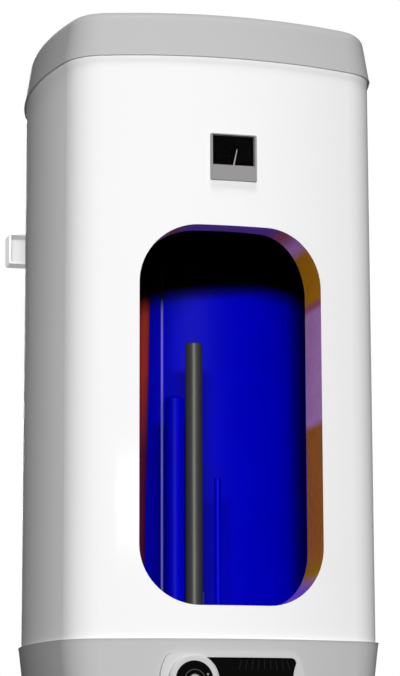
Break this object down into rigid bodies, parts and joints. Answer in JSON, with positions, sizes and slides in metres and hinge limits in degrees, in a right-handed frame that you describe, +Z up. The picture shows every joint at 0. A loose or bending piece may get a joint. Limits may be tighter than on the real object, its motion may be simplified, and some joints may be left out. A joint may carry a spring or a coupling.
{
  "type": "wall-hung storage water heater",
  "caption": "Wall-hung electric water heater with a window cut in its front that shows the tank, anode, heater pocket and pipes; it has a knob, display and thermometer.",
  "frame": {"origin": "the middle of the wall bolts, on the wall's face", "axes": "+X to the right seen from the front, +Y into the wall, +Z up; the front of the heater faces -Y"},
  "size_m": [0.5288, 0.532, 1.0855],
  "materials": {
    "white_enamel": "gloss",
    "insulation": "cut foam, violet",
    "grey_cover": "satin",
    "blue_enamel": "glass-smooth enamel",
    "hot_pipe": "satin, red-brown",
    "cold_pipe": "satin",
    "diffuser": "matt",
    "anode": "dull, cast",
    "bare_steel": "satin",
    "flange_enamel": "gloss",
    "seal_rubber": "matt",
    "element_ceramic": "unglazed",
    "terminal_brass": "bright",
    "thermostat_shell": "matt",
    "reset_red": "gloss",
    "hot_red": "gloss",
    "cold_blue": "gloss",
    "gland_grey": "matt",
    "circuit_green": "satin",
    "component_black": "satin",
    "bezel_silver": "gloss silver",
    "display_black": "gloss",
    "knob_black": "gloss",
    "button_black": "gloss",
    "case_grey": "satin",
    "dial_black": "matt",
    "needle_white": "satin",
    "clear_glass": "clear"
  },
  "bodies": {
    "heater": {"anode_rod": "anode", "anode_stud": "bare_steel", "base_plate": "bare_steel", "board_parts": "component_black", "board_pillars": "terminal_brass", "bottom_cap": "grey_cover", "cable_gland": "gland_grey", "cap_posts": "bare_steel", "cap_screws": "bare_steel", "cold_collar": "cold_blue", "cold_water_pipe": "cold_pipe", "control_bezel": "bezel_silver", "display_board": "circuit_green", "display_lens": "display_black", "encoder": "bare_steel", "flange_bolts": "bare_steel", "flange_cover": "flange_enamel", "flange_gasket": "seal_rubber", "flange_neck": "flange_enamel", "gland_nut": "gland_grey", "hanger_bosses": "white_enamel", "heater_core": "element_ceramic", "heater_head": "element_ceramic", "heater_pocket": "blue_enamel", "heater_tabs": "terminal_brass", "hot_collar": "hot_red", "hot_water_pipe": "hot_pipe", "inlet_diffuser": "diffuser", "insulation_back": "insulation", "insulation_front": "insulation", "insulation_top": "insulation", "jacket": "white_enamel", "lcd_module": "component_black", "power_board": "circuit_green", "probe_sheath": "blue_enamel", "safety_thermostat": "thermostat_shell", "sensor_tube": "bare_steel", "tank_bottom_dome": "blue_enamel", "tank_shell": "blue_enamel", "tank_top_dome": "blue_enamel", "temperature_probe": "terminal_brass", "terminal_block": "thermostat_shell", "terminal_screws": "terminal_brass", "thermometer_bulb": "terminal_brass", "thermometer_case": "case_grey", "thermometer_dial": "dial_black", "thermometer_glass": "clear_glass", "thermometer_movement": "terminal_brass", "thermometer_strip": "case_grey", "top_lid": "grey_cover", "wall_bracket": "white_enamel", "wall_spacers": "seal_rubber"},
    "knob": {"control_knob": "knob_black", "knob_spindle": "bare_steel"},
    "push_button": {"knob_button": "button_black"},
    "needle": {"thermometer_needle": "needle_white"},
    "reset": {"reset_button": "reset_red"}
  },
  "joints": [
    {"name": "knob_turn", "type": "hinge", "parent": "heater", "child": "knob", "pos_m": [-0.064, -0.529, -0.724], "axis": [0, -1, 0], "range_deg": [-150, 150]},
    {"name": "button_press", "type": "slide", "parent": "knob", "child": "push_button", "axis": [0, 1, 0], "range_m": [0, 0.0012], "stiffness_N_per_m": 600},
    {"name": "needle_turn", "type": "hinge", "parent": "heater", "child": "needle", "pos_m": [-0.0001, -0.519, 0.0371], "axis": [0, -1, 0], "range_deg": [-47.5, 72.5], "stiffness_Nm_per_rad": 0.002},
    {"name": "reset_press", "type": "slide", "parent": "heater", "child": "reset", "axis": [0, 0, 1], "range_m": [0, 0.0015], "stiffness_N_per_m": 400}
  ]
}
